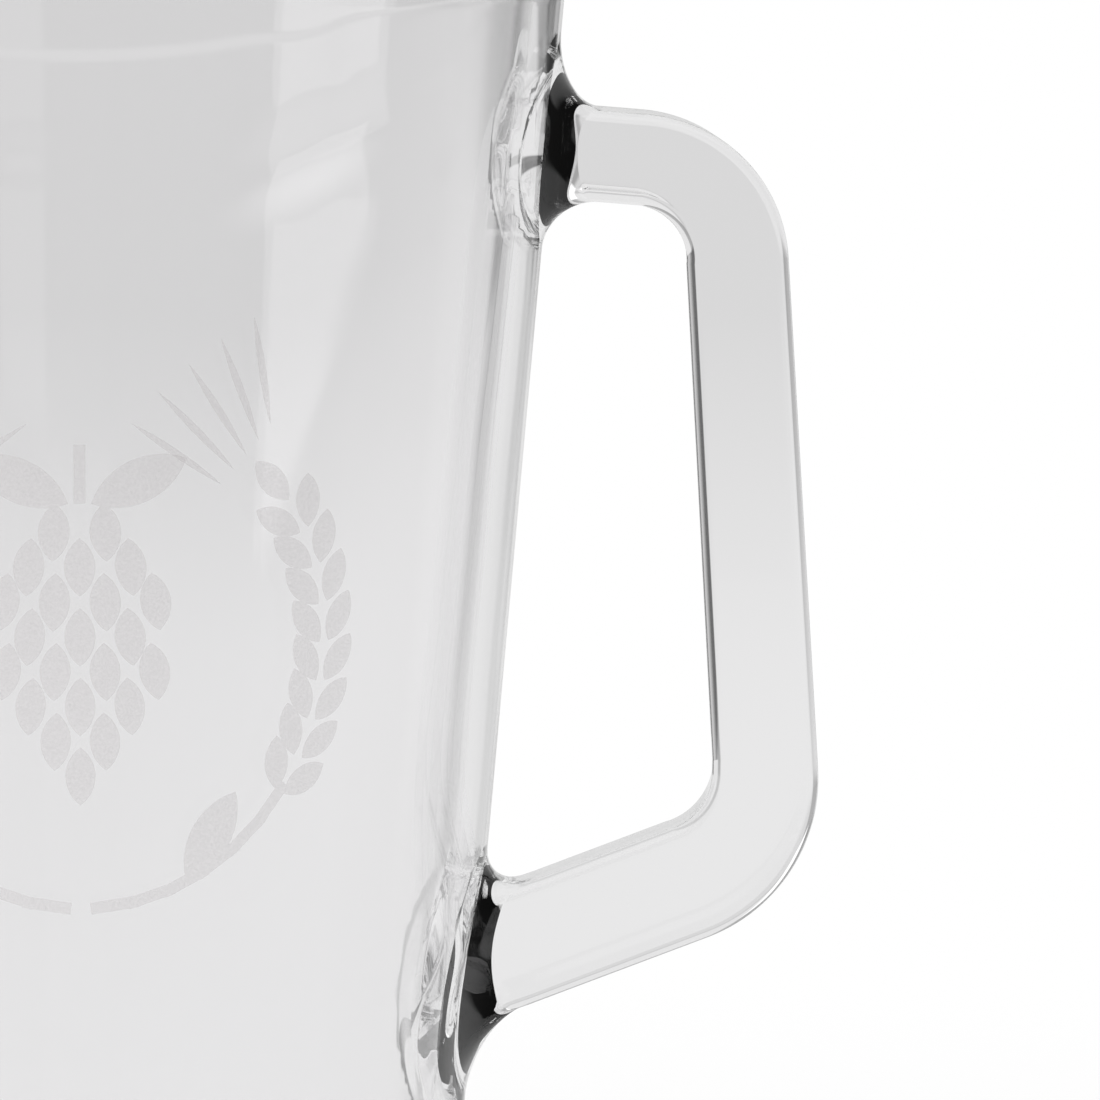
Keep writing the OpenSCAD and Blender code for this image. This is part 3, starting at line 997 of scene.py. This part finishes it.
class Surround(Graph):
    """The world's node tree, with the levels of the studio round the object."""

    def __init__(self, tree):
        super().__init__(tree)
        coords = self.add("ShaderNodeTexCoord")
        split = self.add("ShaderNodeSeparateXYZ", {"Vector": coords.outputs["Generated"]})
        x, y, z = split.outputs
        self.elevation = self.times(self.maths("ARCSINE", z), math.degrees(1))
        self.azimuth = self.times(self.maths("ARCTAN2", x, y), math.degrees(1))

    def band(self, left, right):
        """One between two edges, and nothing beside them."""
        return self.times(self.step(self.azimuth, *left), self.step(self.azimuth, *reversed(right)))

    def above(self, edge, low=0.0, high=1.0):
        return self.step(self.elevation, *edge, low, high)

    def below(self, edge, level=1.0):
        return self.step(self.elevation, *reversed(edge), 0.0, level)

    def backdrop(self):
        level = self.most(self.above(BACKDROP_ELEVATIONS, *BACKDROP_LEVELS),
                          self.above(BACKDROP_HIGH, 0.0, BACKDROP_LEVELS[0]))
        level = self.times(level, self.step(self.azimuth, *BACKDROP_SHADE, BACKDROP_SHADE_LEVEL, 1.0))
        level = self.times(level, self.band(BACKDROP_LEFT, BACKDROP_RIGHT))
        return self.times(level, self.below(BACKDROP_TOP))

    def table(self):
        level = self.times(self.above(TABLE_ELEVATIONS, *TABLE_LEVELS), self.below(TABLE_EDGE))
        gap = self.times(self.band(*TABLE_GAP), self.above(TABLE_GAP_FOOT))
        return self.times(level, self.rest(gap))

    def horizon(self):
        lit = self.rest(self.band(DARK_LEFT, DARK_RIGHT))
        return self.times(lit, self.below(HORIZON_TOP, HORIZON_LEVEL))

    def panel(self, left, right, foot, top, level):
        return self.times(self.times(self.band(left, right), self.below(top, level)), self.above(foot))

    def level(self):
        """The brightest of what lies in a direction, with the stands in front of part of it."""
        level = self.most(self.backdrop(), self.table())
        level = self.most(level, self.horizon())
        level = self.most(level, self.panel(DARK_LEFT, WALL_RIGHT, WALL_FOOT, WALL_TOP, WALL_LEVEL))
        for left, right, foot, shades in STANDS:
            stand = self.times(self.band(left, right), self.above(foot, *shades))
            level = self.times(level, self.rest(stand))
        for panel in PANELS:
            level = self.most(level, self.panel(*panel))
        level = self.most(level, self.above(CEILING_FOOT, 0.0, CEILING_LEVEL))
        level = self.most(level, self.times(self.band(GLOW_LEFT, GLOW_RIGHT), GLOW_LEVEL))
        return self.most(level, ROOM_LEVEL)


def build_world():
    world = bpy.data.worlds.new("studio")
    bpy.context.scene.world = world
    world.use_nodes = True
    surround = Surround(world.node_tree)
    path = surround.add("ShaderNodeLightPath")
    in_glass = surround.most(path.outputs["Is Glossy Ray"], path.outputs["Is Transmission Ray"])
    level = surround.mixed(in_glass, EVEN_LEVEL, surround.level())
    level = surround.mixed(path.outputs["Is Camera Ray"], level, WHITE_LEVEL)
    light = surround.add("ShaderNodeBackground", {"Color": (1, 1, 1, 1), "Strength": level})
    surround.show(light, "ShaderNodeOutputWorld")


# Lamps: location, width, height and power in watts; each faces the pitcher
LAMPS = {
    "left_softbox": ((-1.30, -0.75, 0.95), 0.35, 1.2, 10.0),
    "front_strip": ((0.20, -2.20, 0.85), 0.10, 0.8, 4.0),
    "overhead": ((0.10, 0.20, 1.60), 1.2, 1.2, 12.0),
}
LAMP_TARGET = Vector((0, 0, 0.12))


def build_lamps():
    for name, (location, width, height, power) in LAMPS.items():
        data = bpy.data.lights.new(name, "AREA")
        data.shape = "RECTANGLE"
        data.size = width
        data.size_y = height
        data.energy = power
        lamp = bpy.data.objects.new(name, data)
        lamp.location = location
        lamp.rotation_euler = (LAMP_TARGET - lamp.location).to_track_quat("-Z", "Y").to_euler()
        lamp.visible_glossy = False
        lamp.visible_transmission = False
        bpy.context.scene.collection.objects.link(lamp)


# Camera: in front of the pitcher's axis, aimed at the middle of the photograph's frame
AIM = Vector((0.0662, 0, 0.1212))
CAMERA_DISTANCE = 1.7
CAMERA_ELEVATION = math.radians(5.5)
LENS_MM = 395.0
SENSOR_MM = 36


def build_camera():
    data = bpy.data.cameras.new("photo_camera")
    data.lens = LENS_MM
    data.sensor_width = SENSOR_MM
    camera = bpy.data.objects.new("photo_camera", data)
    level = CAMERA_DISTANCE * math.cos(CAMERA_ELEVATION)
    camera.location = (0, -math.sqrt(level ** 2 - AIM.x ** 2),
                       AIM.z + CAMERA_DISTANCE * math.sin(CAMERA_ELEVATION))
    camera.rotation_euler = (AIM - camera.location).to_track_quat("-Z", "Y").to_euler()
    bpy.context.scene.collection.objects.link(camera)
    bpy.context.scene.camera = camera


# How often light may bounce in the thick glass, mirror, and pass through what is clear
GLASS_BOUNCES = 32
MIRROR_BOUNCES = 12
CLEAR_BOUNCES = 64


def build_studio():
    bpy.context.scene.view_settings.view_transform = "Standard"
    bpy.context.scene.cycles.max_bounces = GLASS_BOUNCES
    bpy.context.scene.cycles.transmission_bounces = GLASS_BOUNCES
    bpy.context.scene.cycles.glossy_bounces = MIRROR_BOUNCES
    bpy.context.scene.cycles.transparent_max_bounces = CLEAR_BOUNCES
    build_camera()
    build_world()
    build_floor()
    build_lamps()


def place(piece, node):
    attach(piece, BODY)
    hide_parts(node)


def main():
    build_studio()
    fused = fused_material()
    vessel_glass = glass_material("clear_glass")
    handle_glass = glass_material("handle_glass")
    place(build_vessel([vessel_glass, fused]), "vessel")
    place(build_handle([handle_glass, fused]), "handle")
    for name in ARMS:
        weld = build_weld(f"{name}_weld_glass", ARMS[name], [handle_glass, fused])
        place(weld, f"{name}_weld")
    frost = print_material()
    shapes = {"hop_cone": hop_shapes(), "left_barley": barley_shapes(-1),
              "right_barley": barley_shapes(1)}
    for name in shapes:
        place(build_print(f"{name}_frost", shapes[name], frost), f"{name}_print")


main()
